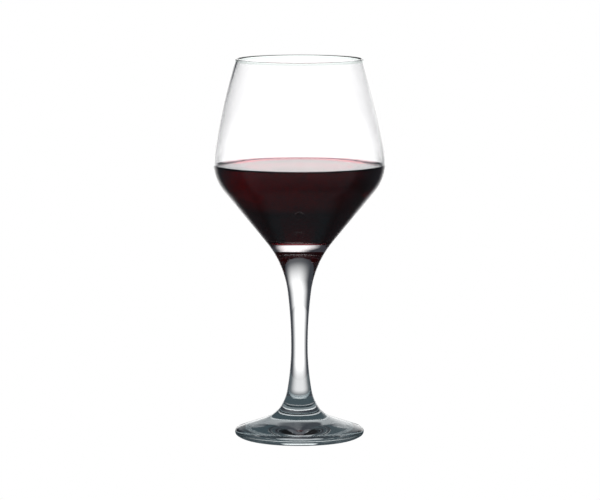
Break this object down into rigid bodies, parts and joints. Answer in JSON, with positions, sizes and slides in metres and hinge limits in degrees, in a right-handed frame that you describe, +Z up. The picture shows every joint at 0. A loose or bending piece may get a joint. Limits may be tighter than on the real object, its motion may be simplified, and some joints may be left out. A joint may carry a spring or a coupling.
{
  "type": "wine glass",
  "caption": "Stemmed red-wine glass with a tapered bowl, slender waisted stem and domed foot, part filled with red wine.",
  "frame": {"origin": "centre of the ring that the foot stands on, at the level of the table", "axes": "+Z up along the glass's axis of revolution; X and Y lie in the table's plane, and no direction around the axis differs from another"},
  "size_m": [0.0902, 0.0902, 0.2],
  "materials": {
    "clear_glass": "clear fire-polished soda-lime glass, faintly blue-green where thick",
    "red_wine": "deep red wine with a glossy level surface, nearly black where deep"
  },
  "bodies": {
    "root": {"bowl": "clear_glass", "stem": "clear_glass", "foot": "clear_glass", "wine": "red_wine"}
  },
  "joints": []
}
